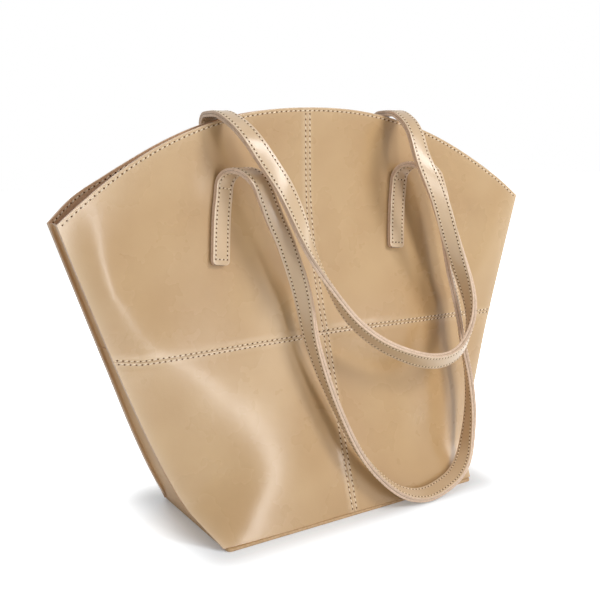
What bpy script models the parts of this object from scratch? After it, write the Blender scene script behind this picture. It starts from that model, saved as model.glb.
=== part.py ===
"""Shoulder tote bag of smooth leather, standing on its base, with both handles hanging down in front.

The origin is the middle of the underside of the base panel. +X runs to the right along the front wall,
-Y is the front and +Z is up. Every size is in metres.
"""

import math

import bmesh
import bpy
from mathutils import Vector

# Bag body, outside sizes
BAG_HEIGHT = 0.340
CORNER_HEIGHT = 0.2564
BASE_WIDTH = 0.2514
BASE_DEPTH = 0.1266
BASE_CORNER_RADIUS = 0.004
MOUTH_WIDTH = 0.4514
MOUTH_END_DEPTH = 0.027
MOUTH_MIDDLE_DEPTH = 0.014
MOUTH_SET_BACK = 0.0094
ARCH_POWER = 2.22

# Seams
CENTRE_LINE_X = -0.0045
WALL_SEAM_HEIGHT = 0.149
GUSSET_SEAM_RISE = 0.009
GUSSET_SEAM_HEIGHT = WALL_SEAM_HEIGHT + GUSSET_SEAM_RISE

# Sheet thicknesses and gaps
LEATHER = 0.002
BASE_THICKNESS = 0.0025
BOARD_THICKNESS = 0.0025
BACKING_THICKNESS = 0.0012
GAP = 0.0003
GUSSET_GAP = 0.0008
STRETCH_GAP = 0.001
SEAT_GAP = 0.0004
BOARD_CLEARANCE = 0.0015

# Gussets
GUSSET_INSET = 0.003
GUSSET_GROOVE = 0.003
GUSSET_TOP_DIP = 0.0045
# At its foot a gusset has this share of its inset and no groove. Both are full from this share of the
# height up
GUSSET_FOOT_INSET_SHARE = 0.4
GUSSET_FOOT_HEIGHT = 0.12

# Handles
STRAP_WIDTH = 0.015
STRAP_LAYER = 0.0023
FRONT_ENDS_APART = 0.177
FRONT_ENDS_MIDDLE_X = -0.0006
FRONT_END_LEAN = 0.0078
BACK_ENDS_APART = 0.1725
BACK_ENDS_MIDDLE_X = -0.00175
BACK_END_LEAN = 0.0
END_BELOW_ARCH = 0.063
END_LENGTH = 0.0615
BACKING_MARGIN = 0.003
FRONT_BEND_RADIUS = 0.013
FRONT_BEND_DRIFT = (0.0218, 0.0213)
FRONT_LEG_SLOPE = (0.45, 0.40)
BACK_BEND_RADIUS = 0.008
BACK_BEND_REACH = 0.034
BACK_BEND_DROP = 0.033
BACK_BEND_DRIFT = (0.0195, 0.001)
# Each hinge line lies this far above the loop's ends, so that the bends keep their length when it is up
FRONT_HINGE_RISE = 0.015
BACK_HINGE_RISE = 0.028
BACK_HINGE_REACH = 0.0165
MOUTH_CLEARANCE = 0.0006
RISER_CLEARANCE = 0.0008
LOOP_FLOOR_CLEARANCE = 0.006

# Share of the height, share of the way from the base's half width to the mouth's
FLARE = ((0.0, 0.0), (0.12, 0.198), (0.3, 0.396), (0.55, 0.621), (0.8, 0.834), (1.0, 1.0))
# Share of the height, share of the way from the base's half depth to the mouth's
FOLD_TAPER = ((0.0, 0.0), (0.12, 0.653), (0.3, 0.811), (0.55, 0.936), (0.8, 0.98), (1.0, 1.0))
FRONT_TAPER = ((0.0, 0.0), (0.12, 0.188), (0.3, 0.468), (0.55, 0.81), (0.8, 0.985), (1.0, 1.0))
BACK_TAPER = ((0.0, 0.0), (0.12, 0.228), (0.3, 0.51), (0.55, 0.77), (0.8, 0.94), (1.0, 1.0))
# Share of the height, power of the curve from the middle of a wall to its fold
WALL_ROUNDNESS = ((0.0, 4.8), (0.3, 3.8), (0.6, 3.0), (1.0, 2.6))
# Share of the half width, how far the back mouth edge stands out from its plain curve
BACK_EDGE_WAVE = ((0.0, 0.0), (0.4, -0.001), (0.7, -0.0055), (0.8, -0.0015), (0.9, 0.008), (1.0, 0.0))
BACK_WAVE_START = 0.6

# Hanging loops, left to right. Each row holds the distance from the centre line in halves of
# FRONT_ENDS_APART, the share of the height from the loop's lowest point to its ends, the distance out
# from the front wall in strap widths, and the twist in degrees: 0 is a strap lying flat to the wall, and
# 90 a strap on edge with its outer face to the inside of the loop
FRONT_LOOP = (
    (-0.585, 0.905, 1.867, 10),
    (-0.485, 0.83, 1.8, 20),
    (-0.382, 0.719, 1.667, 38),
    (-0.33, 0.642, 1.52, 55),
    (-0.29, 0.523, 1.387, 78),
    (-0.147, 0.349, 1.133, 97),
    (0.081, 0.167, 0.907, 106),
    (0.401, 0.044, 0.827, 108),
    (0.729, 0.0, 0.807, 107),
    (1.087, 0.017, 0.833, 102),
    (1.339, 0.051, 0.867, 97),
    (1.511, 0.112, 0.987, 89),
    (1.595, 0.215, 1.147, 75),
    (1.599, 0.33, 1.3, 62),
    (1.562, 0.438, 1.4, 55),
    (1.519, 0.576, 1.54, 45),
    (1.46, 0.697, 1.647, 34),
    (1.425, 0.814, 1.72, 22),
    (1.383, 0.915, 1.767, 10),
)
BACK_LOOP = (
    (-0.638, 0.951, 2.733, 4),
    (-0.55, 0.9, 2.967, 8),
    (-0.453, 0.827, 2.987, 18),
    (-0.35, 0.749, 2.867, 38),
    (-0.24, 0.68, 2.8, 62),
    (-0.014, 0.561, 2.8, 95),
    (0.147, 0.508, 2.8, 105),
    (0.342, 0.463, 2.767, 116),
    (0.564, 0.428, 2.727, 128),
    (0.798, 0.4, 2.693, 140),
    (1.011, 0.388, 2.673, 147),
    (1.203, 0.392, 2.68, 148),
    (1.337, 0.41, 2.7, 145),
    (1.434, 0.442, 2.74, 135),
    (1.508, 0.494, 2.8, 115),
    (1.512, 0.554, 2.8, 92),
    (1.461, 0.616, 2.8, 72),
    (1.375, 0.687, 2.833, 54),
    (1.275, 0.776, 2.933, 36),
    (1.165, 0.87, 2.967, 20),
    (1.06, 0.944, 2.767, 8),
)

# Mesh density
PANEL_COLUMNS = 12
PANEL_ROWS = 11
GUSSET_COLUMNS = 6
GUSSET_ROWS = 12
BACKING_COLUMNS = 4
BACKING_ROWS = 6
CORNER_SEGMENTS = 5
END_STEP = 0.012
BEND_STEP = 0.004
LOOP_STEP = 0.010
# Rows of a lower panel lie closer together towards the base by this power
FOOT_CROWDING = 1.6
SHARP_ANGLE = math.radians(40)

# Points on the middle line of a handle
END_POINTS = 16
FRONT_BEND_POINTS = 20
RISER_POINTS = 6
RISER_EASE_POINTS = 3
MOUTH_TURN_POINTS = 6
FRONT_TURN_POINTS = 9
PATH_STEPS = 8

# Step in shares of the half width and height to find a slope, and rounds to find a place on a wall
NUDGE = 0.002
SETTLE_ROUNDS = 12

# Colour and roughness
BODY_LEATHER = ((0.56, 0.39, 0.24), 0.35)
STRAP_LEATHER = ((0.72, 0.56, 0.42), 0.4)
BOARD = ((0.28, 0.2, 0.14), 0.8)

HINGE_MARK_SIZE = 0.03

FRONT = -1
BACK = 1
LEFT = -1
RIGHT = 1
SIDE_NAMES = {FRONT: "front", BACK: "back"}
HAND_NAMES = {LEFT: "left", RIGHT: "right"}


def clear_scene():
    for obj in list(bpy.data.objects):
        bpy.data.objects.remove(obj, do_unlink=True)


def material(name, colour, roughness):
    made = bpy.data.materials.new(name)
    made.use_nodes = True
    shader = made.node_tree.nodes["Principled BSDF"]
    shader.inputs["Base Color"].default_value = (*colour, 1.0)
    shader.inputs["Roughness"].default_value = roughness
    shader.inputs["Metallic"].default_value = 0.0
    return made


def along(rows, place):
    """Smooth value at a place in (place, value) rows, with no overshoot between them."""
    places = [row[0] for row in rows]
    values = [row[1] for row in rows]
    last = len(rows) - 1
    if place <= places[0]:
        return values[0]
    if place >= places[last]:
        return values[last]
    slopes = [(values[i + 1] - values[i]) / (places[i + 1] - places[i]) for i in range(last)]
    bends = [slopes[0]]
    for i in range(1, last):
        before, after = slopes[i - 1], slopes[i]
        bends.append(2 * before * after / (before + after) if before * after > 0 else 0.0)
    bends.append(slopes[-1])
    i = max(k for k in range(last) if places[k] <= place)
    span = places[i + 1] - places[i]
    u = (place - places[i]) / span
    return (
        values[i] * (1 + 2 * u) * (1 - u) ** 2
        + span * bends[i] * u * (1 - u) ** 2
        + values[i + 1] * u * u * (3 - 2 * u)
        - span * bends[i + 1] * u * u * (1 - u)
    )


def smooth_share(value):
    value = min(max(value, 0.0), 1.0)
    return value * value * (3 - 2 * value)


def between(low, high, share):
    return low + (high - low) * share


def half_width(level):
    """Distance from the middle to a side fold, at a share of the height."""
    return between(BASE_WIDTH / 2, MOUTH_WIDTH / 2, along(FLARE, level))


def fold_depth(level):
    """Distance of a side fold from the middle plane, front or back."""
    return between(BASE_DEPTH / 2, MOUTH_END_DEPTH / 2, along(FOLD_TAPER, level))


def middle_y(side, level):
    """Where the middle of a wall lies."""
    taper = FRONT_TAPER if side == FRONT else BACK_TAPER
    mouth = MOUTH_SET_BACK + side * MOUTH_MIDDLE_DEPTH / 2
    return between(side * BASE_DEPTH / 2, mouth, along(taper, level))


def top_height(across):
    """Height of the arched mouth edge, at a share of the half width."""
    return BAG_HEIGHT - (BAG_HEIGHT - CORNER_HEIGHT) * abs(across) ** ARCH_POWER


def wall_point(side, across, level):
    """Point on the outer face of a wall, from shares of its half width and height."""
    middle = middle_y(side, level)
    y = between(middle, side * fold_depth(level), abs(across) ** along(WALL_ROUNDNESS, level))
    if side == BACK:
        wave = along(BACK_EDGE_WAVE, abs(across))
        y += wave * smooth_share((level - BACK_WAVE_START) / (1 - BACK_WAVE_START))
    return Vector((across * half_width(level), y, level * top_height(across)))


def outward_of(side, across, level):
    """The outward direction of a wall, from shares of its half width and height."""
    along_x = wall_point(side, across + NUDGE, level) - wall_point(side, across - NUDGE, level)
    along_z = wall_point(side, across, level + NUDGE) - wall_point(side, across, level - NUDGE)
    outward = along_x.cross(along_z).normalized()
    return outward if outward.y * side > 0 else -outward


def wall_foot(side, across):
    """Height of a wall's lower edge, whose inner corner lies lower where the wall leans in."""
    lean = outward_of(side, across, 2 * BASE_THICKNESS / CORNER_HEIGHT).z
    return BASE_THICKNESS + GAP + LEATHER * max(lean, 0.0) + GAP / 2


def wall_at(side, x, z):
    """Point on the outer face of a wall at x and z, and the wall's outward direction there."""
    across, level = 0.0, 0.0
    for _ in range(SETTLE_ROUNDS):
        level = z / top_height(across)
        across = x / half_width(min(level, 1.0))
    return wall_point(side, across, level), outward_of(side, across, level)


def sheet(name, rows, thickness, grow, finish):
    """A leather sheet through rows of points, thickened to one side of them (grow 1 or -1)."""
    mesh = bpy.data.meshes.new(name)
    build = bmesh.new()
    grid = [[build.verts.new(point) for point in row] for row in rows]
    for lower, upper in zip(grid, grid[1:]):
        for i in range(len(lower) - 1):
            build.faces.new((lower[i], lower[i + 1], upper[i + 1], upper[i]))
    build.to_mesh(mesh)
    build.free()
    mesh.materials.append(finish)
    mesh.shade_smooth()
    mesh.set_sharp_from_angle(angle=SHARP_ANGLE)
    obj = bpy.data.objects.new(name, mesh)
    solidify = obj.modifiers.new("thickness", "SOLIDIFY")
    solidify.thickness = thickness
    solidify.offset = grow
    solidify.use_even_offset = False
    return obj


def wall_panel(side, hand, lower, finish):
    """One of the four panels of a wall, with its outer face on the wall's form."""
    rows = []
    for i in range(PANEL_ROWS + 1):
        up = i / PANEL_ROWS
        up = up**FOOT_CROWDING if lower else up
        row = []
        for j in range(PANEL_COLUMNS + 1):
            out = j / PANEL_COLUMNS
            across, level = hand * out, up
            for _ in range(SETTLE_ROUNDS):
                top = top_height(across)
                foot = wall_foot(side, across) if lower else WALL_SEAM_HEIGHT + GAP / 2
                head = (WALL_SEAM_HEIGHT - GAP / 2) / top if lower else 1.0
                level = between(foot / top, head, up)
                seam = (CENTRE_LINE_X + hand * GAP / 2) / half_width(level)
                across = between(seam, hand, out)
            row.append(wall_point(side, across, level))
        rows.append(row)
    storey = "lower" if lower else "upper"
    name = f"{SIDE_NAMES[side]}_{storey}_{HAND_NAMES[hand]}_panel"
    return sheet(name, rows, LEATHER, side * hand, finish)


def gusset_edge_y(side, hand, x_in, level):
    """Where a gusset meets the inside of a wall, a little clear of it."""
    nearest = None
    for depth in (x_in, x_in + LEATHER):
        across = hand * (1 - depth / half_width(level))
        stretch = 1 / abs(outward_of(side, across, level).y)
        y = abs(wall_point(side, across, level).y * side) - (LEATHER + GUSSET_GAP) * stretch
        nearest = y if nearest is None else min(nearest, y)
    return side * nearest


def gusset(hand, lower, finish):
    """Half of a side strip between the walls, drawn in a little along its middle."""
    foot = BASE_THICKNESS + GAP if lower else GUSSET_SEAM_HEIGHT + GAP / 2
    rows = []
    for i in range(GUSSET_ROWS + 1):
        up = i / GUSSET_ROWS
        up = up**FOOT_CROWDING if lower else up
        head = GUSSET_SEAM_HEIGHT - GAP / 2 if lower else CORNER_HEIGHT
        level = between(foot, head, up) / CORNER_HEIGHT
        above_foot = smooth_share(level / GUSSET_FOOT_HEIGHT)
        inset = GUSSET_INSET * between(GUSSET_FOOT_INSET_SHARE, 1.0, above_foot)
        groove = GUSSET_GROOVE * above_foot
        edge_front = gusset_edge_y(FRONT, hand, inset, level)
        edge_back = gusset_edge_y(BACK, hand, inset, level)
        row = []
        for j in range(GUSSET_COLUMNS + 1):
            share = j / GUSSET_COLUMNS
            hollow = 1 - (2 * share - 1) ** 2
            x = hand * (half_width(level) - inset - groove * hollow)
            dip = 0.0 if lower else GUSSET_TOP_DIP * hollow * up
            row.append(Vector((x, between(edge_front, edge_back, share), level * CORNER_HEIGHT - dip)))
        rows.append(row)
    storey = "lower" if lower else "upper"
    return sheet(f"{HAND_NAMES[hand]}_gusset_{storey}", rows, LEATHER, -hand, finish)


def slab(name, width, depth, thickness, foot, radius, finish):
    """A flat sheet with rounded corners, its underside at the height foot."""
    mesh = bpy.data.meshes.new(name)
    build = bmesh.new()
    bmesh.ops.create_cube(build, size=1.0)
    bmesh.ops.scale(build, vec=(width, depth, thickness), verts=build.verts)
    upright = []
    for edge in build.edges:
        low, high = edge.verts
        if abs(high.co.z - low.co.z) > thickness / 2:
            upright.append(edge)
    bmesh.ops.bevel(
        build,
        geom=upright,
        offset=radius,
        segments=CORNER_SEGMENTS,
        profile=0.5,
        affect="EDGES",
    )
    build.to_mesh(mesh)
    build.free()
    mesh.materials.append(finish)
    obj = bpy.data.objects.new(name, mesh)
    obj.location = (0, 0, foot + thickness / 2)
    return obj


def base_panel(finish):
    return slab("base_panel", BASE_WIDTH, BASE_DEPTH, BASE_THICKNESS, 0.0, BASE_CORNER_RADIUS, finish)


def base_board(finish):
    """Stiffener lying inside on the base panel, clear of the walls and gussets round it."""
    foot = BASE_THICKNESS + GAP
    level = (foot + BOARD_THICKNESS) / CORNER_HEIGHT
    nearest = min(abs(gusset_edge_y(side, RIGHT, GUSSET_INSET, level)) for side in (FRONT, BACK))
    depth = 2 * (nearest - BOARD_CLEARANCE)
    width = 2 * (BASE_WIDTH / 2 - GUSSET_INSET - LEATHER - BOARD_CLEARANCE)
    return slab("base_board", width, depth, BOARD_THICKNESS, foot, BASE_CORNER_RADIUS, finish)


def end_middle_x(side, hand, share):
    """Middle of a sewn end: both ends lean the same way, share 0 at the bottom and 1 at the top."""
    if side == FRONT:
        return FRONT_ENDS_MIDDLE_X + hand * FRONT_ENDS_APART / 2 + FRONT_END_LEAN * (share - 1)
    return BACK_ENDS_MIDDLE_X + hand * BACK_ENDS_APART / 2 + BACK_END_LEAN * (share - 1)


def end_top():
    return BAG_HEIGHT - END_BELOW_ARCH


def strap_stand_off():
    """From the wall's outer face to the middle of the strap's thickness."""
    return SEAT_GAP + STRAP_LAYER + GAP / 2


def backing_patch(side, hand, finish):
    """Leather patch glued inside a wall behind a sewn handle end."""
    half = STRAP_WIDTH / 2 + BACKING_MARGIN
    low, high = end_top() - END_LENGTH - BACKING_MARGIN, end_top() + BACKING_MARGIN
    rows = []
    for i in range(BACKING_ROWS + 1):
        share = i / BACKING_ROWS
        row = []
        for j in range(BACKING_COLUMNS + 1):
            x = end_middle_x(side, hand, share) + between(-half, half, j / BACKING_COLUMNS)
            point, outward = wall_at(side, x, between(low, high, share))
            row.append(point - outward * (LEATHER + GUSSET_GAP))
        rows.append(row)
    name = f"{SIDE_NAMES[side]}_{HAND_NAMES[hand]}_handle_backing"
    return sheet(name, rows, BACKING_THICKNESS, side, finish)


def sewn_end_course(side, hand):
    """Middle line of a sewn end from bottom to top, with the direction that its outer face looks."""
    course = []
    for i in range(END_POINTS + 1):
        share = i / END_POINTS
        z = between(end_top() - END_LENGTH, end_top(), share)
        point, outward = wall_at(side, end_middle_x(side, hand, share), z)
        course.append((point + outward * strap_stand_off(), outward))
    return course


def front_bend_course(hand):
    """From the top of a sewn end forward and down in a half circle, to the end of the loop."""
    start, _ = sewn_end_course(FRONT, hand)[-1]
    centre = Vector((start.x, start.y - FRONT_BEND_RADIUS, start.z))
    drift = FRONT_BEND_DRIFT[0 if hand == LEFT else 1]
    arc = math.pi * FRONT_BEND_RADIUS
    slope_in = FRONT_END_LEAN / END_LENGTH * arc
    slope_out = FRONT_LEG_SLOPE[0 if hand == LEFT else 1] * arc
    course = []
    for i in range(1, FRONT_BEND_POINTS + 1):
        share = i / FRONT_BEND_POINTS
        angle = math.pi * share
        out = Vector((0, math.cos(angle), math.sin(angle)))
        shift = drift * smooth_share(share)
        shift += slope_in * share * (1 - share) ** 2 - slope_out * share**2 * (1 - share)
        course.append((centre + out * FRONT_BEND_RADIUS + Vector((shift, 0, 0)), -out))
    return course


def back_loop_top():
    return over_mouth_height(LEFT) - BACK_BEND_DROP


def over_mouth_height(hand):
    """Height of the strap's middle where it crosses both mouth edges."""
    nearest = abs(end_middle_x(BACK, hand, 1.0)) - STRAP_WIDTH / 2
    return top_height(nearest / half_width(1.0)) + MOUTH_CLEARANCE + STRAP_LAYER + GAP / 2


def riser_y(hand):
    """The strap rises behind the back wall a little clear of it."""
    start, _ = sewn_end_course(BACK, hand)[-1]
    return start.y + RISER_CLEARANCE


def back_bend_course(hand):
    """From the top of a sewn end up behind the back wall, over both mouth edges and down in front."""
    x = end_middle_x(BACK, hand, 1.0)
    y = riser_y(hand)
    high = over_mouth_height(hand)
    drop = high - back_loop_top()
    drift = BACK_BEND_DRIFT[0 if hand == LEFT else 1]
    course = []
    turn_z = high - BACK_BEND_RADIUS
    for i in range(1, RISER_POINTS):
        z = between(end_top(), turn_z, i / RISER_POINTS)
        away = RISER_CLEARANCE * min(i / RISER_EASE_POINTS, 1)
        course.append((Vector((x, y - RISER_CLEARANCE + away, z)), Vector((0, 1, 0))))
    for i in range(MOUTH_TURN_POINTS + 1):
        angle = math.pi / 2 * i / MOUTH_TURN_POINTS
        out = Vector((0, math.cos(angle), math.sin(angle)))
        course.append((Vector((x, y - BACK_BEND_RADIUS, turn_z)) + out * BACK_BEND_RADIUS, out))
    forward = y - BACK_BEND_RADIUS
    course.append((Vector((x, forward / 2, high)), Vector((0, 0, 1))))
    for i in range(FRONT_TURN_POINTS + 1):
        angle = math.pi / 2 * i / FRONT_TURN_POINTS
        fallen = 1 - math.cos(angle)
        place = Vector((x + drift * fallen, -BACK_BEND_REACH * math.sin(angle), high - drop * fallen))
        look = Vector((0, -drop * math.sin(angle), BACK_BEND_REACH * math.cos(angle)))
        course.append((place, look.normalized()))
    return course


def smooth_path(stations, steps):
    """Catmull-Rom curve through stations; the first and the last one only steer it."""
    path = []
    for i in range(1, len(stations) - 2):
        a, b, c, d = (Vector(station) for station in stations[i - 1 : i + 3])
        for k in range(steps):
            u = k / steps
            path.append(
                (
                    2 * b
                    + (c - a) * u
                    + (2 * a - 5 * b + 4 * c - d) * u**2
                    + (3 * b - a - 3 * c + d) * u**3
                )
                / 2
            )
    path.append(Vector(stations[-2]))
    return path


def loop_course(side, start, finish):
    """Free loop between two bends, start and finish being the last two points of each."""
    stations = [(*start[0], 0.0), (*start[1], 0.0)]
    top = start[1].z
    for across, height, stand_off, twist in FRONT_LOOP if side == FRONT else BACK_LOOP:
        x = CENTRE_LINE_X + across * FRONT_ENDS_APART / 2
        z = between(LOOP_FLOOR_CLEARANCE, top, height)
        wall, _ = wall_at(FRONT, x, z)
        stations.append((x, wall.y - stand_off * STRAP_WIDTH, z, math.radians(twist)))
    stations += [(*finish[1], 0.0), (*finish[0], 0.0)]
    path = smooth_path(stations, PATH_STEPS)
    face = Vector((0, -side, 0))
    course = []
    for i, spot in enumerate(path):
        ahead = path[min(i + 1, len(path) - 1)].xyz - path[max(i - 1, 0)].xyz
        ahead.normalize()
        flat = (face - ahead * face.dot(ahead)).normalized()
        inward = ahead.cross(Vector((0, 1, 0))).normalized()
        course.append((spot.xyz, flat * math.cos(spot.w) + inward * math.sin(spot.w)))
    return course


def handle_course(side):
    """Whole middle line of a handle from its left end to its right end, in five stretches."""
    bend = front_bend_course if side == FRONT else back_bend_course
    left_end = sewn_end_course(side, LEFT)
    left_bend = bend(LEFT)
    right_bend = bend(RIGHT)
    right_end = sewn_end_course(side, RIGHT)
    start = (left_bend[-2][0], left_bend[-1][0])
    finish = (right_bend[-2][0], right_bend[-1][0])
    loop = loop_course(side, start, finish)[1:-1]
    return [left_end, left_bend, loop, right_bend[::-1], right_end[::-1]]


def measured(course):
    """Course with its running length, its direction and its outer face square to that direction."""
    spots = []
    length = 0.0
    for i, (point, look) in enumerate(course):
        if i:
            length += (point - course[i - 1][0]).length
        ahead = course[min(i + 1, len(course) - 1)][0] - course[max(i - 1, 0)][0]
        ahead.normalize()
        outer = (look - ahead * look.dot(ahead)).normalized()
        spots.append((length, point, outer, ahead.cross(outer)))
    return spots


def section(spots, length):
    """Middle point, outer face and width direction of the strap at a running length."""
    i = 0
    while i < len(spots) - 2 and spots[i + 1][0] < length:
        i += 1
    low, high = spots[i], spots[i + 1]
    share = (length - low[0]) / (high[0] - low[0])
    point = low[1].lerp(high[1], share)
    outer = low[2].lerp(high[2], share).normalized()
    width = low[3].lerp(high[3], share).normalized()
    return point, outer, width


def strap_layer(name, spots, start, finish, step, grow, leather):
    """One leather layer of a strap between two running lengths."""
    count = max(2, math.ceil((finish - start) / step))
    rows = []
    for i in range(count + 1):
        point, outer, width = section(spots, between(start, finish, i / count))
        face = point + outer * grow * GAP / 2
        rows.append([face - width * STRAP_WIDTH / 2, face + width * STRAP_WIDTH / 2])
    return sheet(name, rows, STRAP_LAYER, grow, leather)


def hinge_place(side):
    """A point on the line that a handle's loop swings about."""
    if side == FRONT:
        start, _ = sewn_end_course(FRONT, LEFT)[-1]
        return Vector((CENTRE_LINE_X, start.y - FRONT_BEND_RADIUS, start.z + FRONT_HINGE_RISE))
    return Vector((CENTRE_LINE_X, -BACK_HINGE_REACH, back_loop_top() + BACK_HINGE_RISE))


def handle(side, leather):
    """Two layers, each of two sewn ends, two bends and the free loop that moves."""
    stretches = handle_course(side)
    course = [spot for stretch in stretches for spot in stretch]
    spots = measured(course)
    marks = [0.0]
    count = 0
    for stretch in stretches:
        count += len(stretch)
        marks.append(spots[count - 1][0])
    parts = ("left_end", "left_bend", "loop", "right_bend", "right_end")
    steps = (END_STEP, BEND_STEP, LOOP_STEP, BEND_STEP, END_STEP)
    still, moving = [], []
    for layer, grow in (("outer", 1), ("lining", -1)):
        for i, part in enumerate(parts):
            start = marks[i] + (STRETCH_GAP / 2 if i else 0.0)
            finish = marks[i + 1] - (STRETCH_GAP / 2 if i < len(parts) - 1 else 0.0)
            name = f"{SIDE_NAMES[side]}_handle_{layer}_{part}"
            made = strap_layer(name, spots, start, finish, steps[i], grow, leather)
            (moving if part == "loop" else still).append(made)
    return still, moving


def hang_on_hinge(side, loops):
    """Parents the loop's two layers to an empty on the line that they swing about."""
    pivot = bpy.data.objects.new(f"{SIDE_NAMES[side]}_handle_swing", None)
    pivot.location = hinge_place(side)
    pivot.empty_display_size = HINGE_MARK_SIZE
    for obj in loops:
        for corner in obj.data.vertices:
            corner.co -= pivot.location
        obj.parent = pivot
    return pivot


def build_bag():
    clear_scene()
    bag = bpy.data.collections.new("shoulder_tote_bag")
    bpy.context.scene.collection.children.link(bag)
    body_leather = material("body_leather", *BODY_LEATHER)
    strap_leather = material("strap_leather", *STRAP_LEATHER)
    board = material("board", *BOARD)
    pieces = [base_panel(body_leather), base_board(board)]
    for side in (FRONT, BACK):
        for hand in (LEFT, RIGHT):
            for lower in (True, False):
                pieces.append(wall_panel(side, hand, lower, body_leather))
            pieces.append(backing_patch(side, hand, body_leather))
    for hand in (LEFT, RIGHT):
        for lower in (True, False):
            pieces.append(gusset(hand, lower, body_leather))
    for side in (FRONT, BACK):
        still, loops = handle(side, strap_leather)
        pieces += still + loops + [hang_on_hinge(side, loops)]
    for obj in pieces:
        bag.objects.link(obj)


build_bag()
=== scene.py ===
"""Looks of a shoulder tote bag of smooth waxed leather, standing with both handles hanging down in front.

Lengths are in metres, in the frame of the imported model: +X runs to the right along the front wall, and the
front wall faces -Y.
"""

import math

import bmesh
import bpy
import numpy as np
from mathutils import Matrix, Vector

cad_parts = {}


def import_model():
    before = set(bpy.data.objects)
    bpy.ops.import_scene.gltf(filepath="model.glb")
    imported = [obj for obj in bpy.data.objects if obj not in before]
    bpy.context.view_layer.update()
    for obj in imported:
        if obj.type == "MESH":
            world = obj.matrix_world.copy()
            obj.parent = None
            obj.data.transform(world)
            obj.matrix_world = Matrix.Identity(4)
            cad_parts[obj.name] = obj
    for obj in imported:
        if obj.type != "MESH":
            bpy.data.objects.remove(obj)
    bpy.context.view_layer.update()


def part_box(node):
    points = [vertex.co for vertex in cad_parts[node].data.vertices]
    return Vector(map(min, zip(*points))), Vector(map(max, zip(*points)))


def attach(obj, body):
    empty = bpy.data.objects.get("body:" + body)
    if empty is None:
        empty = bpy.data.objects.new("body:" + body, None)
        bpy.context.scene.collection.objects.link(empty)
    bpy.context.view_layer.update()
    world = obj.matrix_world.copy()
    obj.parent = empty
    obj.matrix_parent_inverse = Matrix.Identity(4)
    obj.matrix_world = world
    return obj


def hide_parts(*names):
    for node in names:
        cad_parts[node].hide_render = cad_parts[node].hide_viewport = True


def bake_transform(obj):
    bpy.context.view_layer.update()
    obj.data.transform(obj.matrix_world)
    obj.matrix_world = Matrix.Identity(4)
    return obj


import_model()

# Which wall and which hand
FRONT, BACK, LEFT, RIGHT = -1, 1, -1, 1
SIDE_NAMES = {FRONT: "front", BACK: "back"}
HAND_NAMES = {LEFT: "left", RIGHT: "right"}

# Bag body
BAG_HEIGHT = 0.340
CORNER_HEIGHT = 0.2564
BASE_WIDTH = 0.2514
BASE_DEPTH = 0.1266
BASE_CORNER_RADIUS = 0.004
MOUTH_WIDTH = 0.4514
MOUTH_END_DEPTH = 0.027
MOUTH_MIDDLE_DEPTH = 0.014
MOUTH_SET_BACK = 0.0094
ARCH_POWER = 2.22
GUSSET_SEAM_HEIGHT = 0.158
LEATHER = 0.002
BASE_THICKNESS = 0.0025
BOARD_THICKNESS = 0.0025
BACKING_THICKNESS = 0.0012
GAP = 0.0003
GUSSET_GAP = 0.0008
SEAT_GAP = 0.0004
GUSSET_INSET = 0.003
GUSSET_GROOVE = 0.003
GUSSET_TOP_DIP = 0.0045
GUSSET_FOOT_INSET_SHARE = 0.4
GUSSET_FOOT_HEIGHT = 0.12
MARGIN_SHARE = 1 / 7

# Handles
CENTRE_LINE_X = -0.0045
STRAP_WIDTH = 0.015
STRAP_LAYER = 0.0023
ENDS_APART = {FRONT: 0.177, BACK: 0.1725}
ENDS_MIDDLE_X = {FRONT: -0.0006, BACK: -0.00175}
END_LEAN = {FRONT: 0.0078, BACK: 0.0}
END_TOP = BAG_HEIGHT - 0.063
END_LENGTH = 0.0615
BACKING_MARGIN = 0.003
FRONT_BEND_RADIUS = 0.013
FRONT_BEND_DRIFT = {LEFT: 0.0218, RIGHT: 0.0213}
FRONT_LEG_SLOPE = {LEFT: 0.45, RIGHT: 0.40}
BACK_BEND_RADIUS = 0.008
BACK_BEND_REACH = 0.034
BACK_BEND_DROP = 0.033
BACK_BEND_DRIFT = {LEFT: 0.0195, RIGHT: 0.001}
MOUTH_CLEARANCE = 0.0006
RISER_CLEARANCE = 0.0008
LOOP_FLOOR_CLEARANCE = 0.006
# From the wall to the middle of a sewn end
STAND_OFF = SEAT_GAP + STRAP_LAYER + GAP / 2

# Share of the height, share of the way from the base's half width to the mouth's
FLARE = ((0.0, 0.0), (0.12, 0.198), (0.3, 0.396), (0.55, 0.621), (0.8, 0.834), (1.0, 1.0))
# Share of the height, share of the way from the base's half depth to the mouth's
FOLD_TAPER = ((0.0, 0.0), (0.12, 0.653), (0.3, 0.811), (0.55, 0.936), (0.8, 0.98), (1.0, 1.0))
FRONT_TAPER = ((0.0, 0.0), (0.12, 0.188), (0.3, 0.468), (0.55, 0.81), (0.8, 0.985), (1.0, 1.0))
BACK_TAPER = ((0.0, 0.0), (0.12, 0.228), (0.3, 0.51), (0.55, 0.77), (0.8, 0.94), (1.0, 1.0))
# Share of the height, power of the curve from the middle of a wall to its fold
WALL_ROUNDNESS = ((0.0, 4.8), (0.3, 3.8), (0.6, 3.0), (1.0, 2.6))
# Share of the half width, how far the back mouth edge stands out from its plain curve
BACK_EDGE_WAVE = ((0.0, 0.0), (0.4, -0.001), (0.7, -0.0055), (0.8, -0.0015), (0.9, 0.008), (1.0, 0.0))
BACK_WAVE_START = 0.6

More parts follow.
